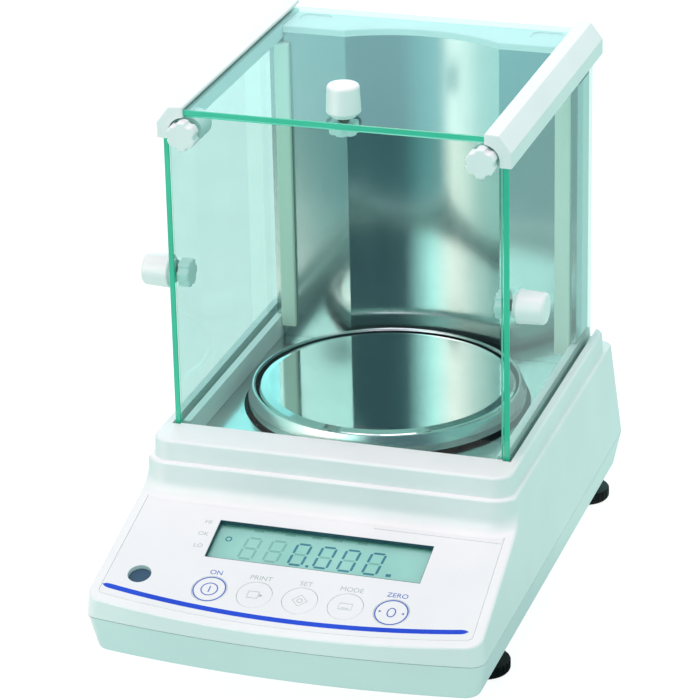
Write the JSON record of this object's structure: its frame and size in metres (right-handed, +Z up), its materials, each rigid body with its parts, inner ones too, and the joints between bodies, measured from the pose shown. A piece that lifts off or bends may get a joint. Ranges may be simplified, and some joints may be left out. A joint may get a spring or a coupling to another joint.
{
  "type": "precision balance",
  "caption": "Electronic balance with a round pan inside a glass draft shield with sliding side and top doors, a tilted key panel with display, and levelling feet.",
  "frame": {"origin": "middle of the footprint at the surface the feet stand on", "axes": "+X to the user's right, +Y to the rear, +Z up"},
  "size_m": [0.1782, 0.253, 0.2422],
  "materials": {
    "case_white": "fine satin moulding",
    "overlay_white": "printed polyester film, satin",
    "key_white": "printed film, satin",
    "clear_plate": "clear",
    "lcd": "liquid-crystal display",
    "board_green": "circuit board",
    "black_plastic": "satin black moulding",
    "level_glass": "clear with liquid",
    "steel": "bright zinc or stainless",
    "stainless": "polished stainless sheet",
    "glass": "clear float glass",
    "aluminium": "machined",
    "seal_pale": "pale sealing strip",
    "knob_white": "satin moulding"
  },
  "bodies": {
    "case": {"lower_case": "case_white", "upper_case": "case_white", "keypad_overlay": "overlay_white", "display_window": "clear_plate", "lcd_module": "lcd", "display_board": "board_green", "key_switches": "black_plastic", "level_cup": "black_plastic", "level_vial": "level_glass", "case_screws": "steel", "shield_frame": "case_white", "floor_plate": "stainless", "pan_well": "black_plastic", "cell_frame": "aluminium", "flexure_guides": "steel", "tuning_fork": "steel", "main_board": "board_green", "power_inlet": "black_plastic", "data_port": "steel", "front_glass": "glass", "rear_panel": "stainless", "rear_cover": "case_white", "rear_cap": "case_white", "rail_brackets": "black_plastic", "door_seals": "seal_pale", "left_rail": "case_white", "right_rail": "case_white"},
    "left_door": {"left_door": "glass", "left_handle_grip": "knob_white", "left_handle_nut": "knob_white", "left_handle_screw": "steel"},
    "right_door": {"right_door": "glass", "right_handle_grip": "knob_white", "right_handle_nut": "knob_white", "right_handle_screw": "steel"},
    "top_door": {"top_door": "glass", "top_handle_grip": "knob_white", "top_handle_nut": "knob_white", "top_handle_screw": "steel"},
    "power_key": {"power_key": "key_white"},
    "print_key": {"print_key": "key_white"},
    "set_key": {"set_key": "key_white"},
    "function_key": {"function_key": "key_white"},
    "zero_key": {"zero_key": "key_white"},
    "weighing_pan": {"weighing_pan": "stainless"},
    "pan_support": {"pan_support": "aluminium", "pan_spindle": "steel", "cell_lever": "aluminium"},
    "draft_ring": {"draft_ring": "stainless"},
    "left_clamp_knob": {"left_clamp_knob": "knob_white"},
    "right_clamp_knob": {"right_clamp_knob": "knob_white"},
    "front_left_foot": {"front_left_foot_wheel": "black_plastic", "front_left_foot_stud": "steel"},
    "front_right_foot": {"front_right_foot_wheel": "black_plastic", "front_right_foot_stud": "steel"},
    "rear_left_foot": {"rear_left_foot_wheel": "black_plastic", "rear_left_foot_stud": "steel"},
    "rear_right_foot": {"rear_right_foot_wheel": "black_plastic", "rear_right_foot_stud": "steel"}
  },
  "joints": [
    {"name": "left_door_slide", "type": "slide", "parent": "case", "child": "left_door", "axis": [0, 1, 0], "range_m": [0, 0.105]},
    {"name": "right_door_slide", "type": "slide", "parent": "case", "child": "right_door", "axis": [0, 1, 0], "range_m": [0, 0.105]},
    {"name": "top_door_slide", "type": "slide", "parent": "case", "child": "top_door", "axis": [0, 1, 0], "range_m": [0, 0.105]},
    {"name": "power_key_press", "type": "slide", "parent": "case", "child": "power_key", "axis": [0, 0.309, -0.9511], "range_m": [0, 0.0005], "stiffness_N_per_m": 1000, "springref_m": -0.0005},
    {"name": "print_key_press", "type": "slide", "parent": "case", "child": "print_key", "axis": [0, 0.309, -0.9511], "range_m": [0, 0.0005], "stiffness_N_per_m": 1000, "springref_m": -0.0005},
    {"name": "set_key_press", "type": "slide", "parent": "case", "child": "set_key", "axis": [0, 0.309, -0.9511], "range_m": [0, 0.0005], "stiffness_N_per_m": 1000, "springref_m": -0.0005},
    {"name": "function_key_press", "type": "slide", "parent": "case", "child": "function_key", "axis": [0, 0.309, -0.9511], "range_m": [0, 0.0005], "stiffness_N_per_m": 1000, "springref_m": -0.0005},
    {"name": "zero_key_press", "type": "slide", "parent": "case", "child": "zero_key", "axis": [0, 0.309, -0.9511], "range_m": [0, 0.0005], "stiffness_N_per_m": 1000, "springref_m": -0.0005},
    {"name": "pan_support_travel", "type": "slide", "parent": "case", "child": "pan_support", "axis": [0, 0, 1], "range_m": [-0.0003, 0], "stiffness_N_per_m": 20000, "springref_m": 0.0002},
    {"name": "weighing_pan_lift", "type": "slide", "parent": "pan_support", "child": "weighing_pan", "axis": [0, 0, 1], "range_m": [0, 0.03]},
    {"name": "draft_ring_lift", "type": "slide", "parent": "case", "child": "draft_ring", "axis": [0, 0, 1], "range_m": [0, 0.03]},
    {"name": "left_clamp_turn", "type": "hinge", "parent": "case", "child": "left_clamp_knob", "pos_m": [-0.0647, -0.0351, 0.218], "axis": [0, 1, 0], "range_deg": [-360, 0]},
    {"name": "right_clamp_turn", "type": "hinge", "parent": "case", "child": "right_clamp_knob", "pos_m": [0.0647, -0.0351, 0.218], "axis": [0, 1, 0], "range_deg": [-360, 0]},
    {"name": "front_left_foot_turn", "type": "hinge", "parent": "case", "child": "front_left_foot", "pos_m": [-0.0725, -0.0645, 0.005], "axis": [0, 0, 1], "range_deg": [-720, 720]},
    {"name": "front_right_foot_turn", "type": "hinge", "parent": "case", "child": "front_right_foot", "pos_m": [0.0725, -0.0645, 0.005], "axis": [0, 0, 1], "range_deg": [-720, 720]},
    {"name": "rear_left_foot_turn", "type": "hinge", "parent": "case", "child": "rear_left_foot", "pos_m": [-0.0725, 0.1105, 0.005], "axis": [0, 0, 1], "range_deg": [-720, 720]},
    {"name": "rear_right_foot_turn", "type": "hinge", "parent": "case", "child": "rear_right_foot", "pos_m": [0.0725, 0.1105, 0.005], "axis": [0, 0, 1], "range_deg": [-720, 720]}
  ]
}
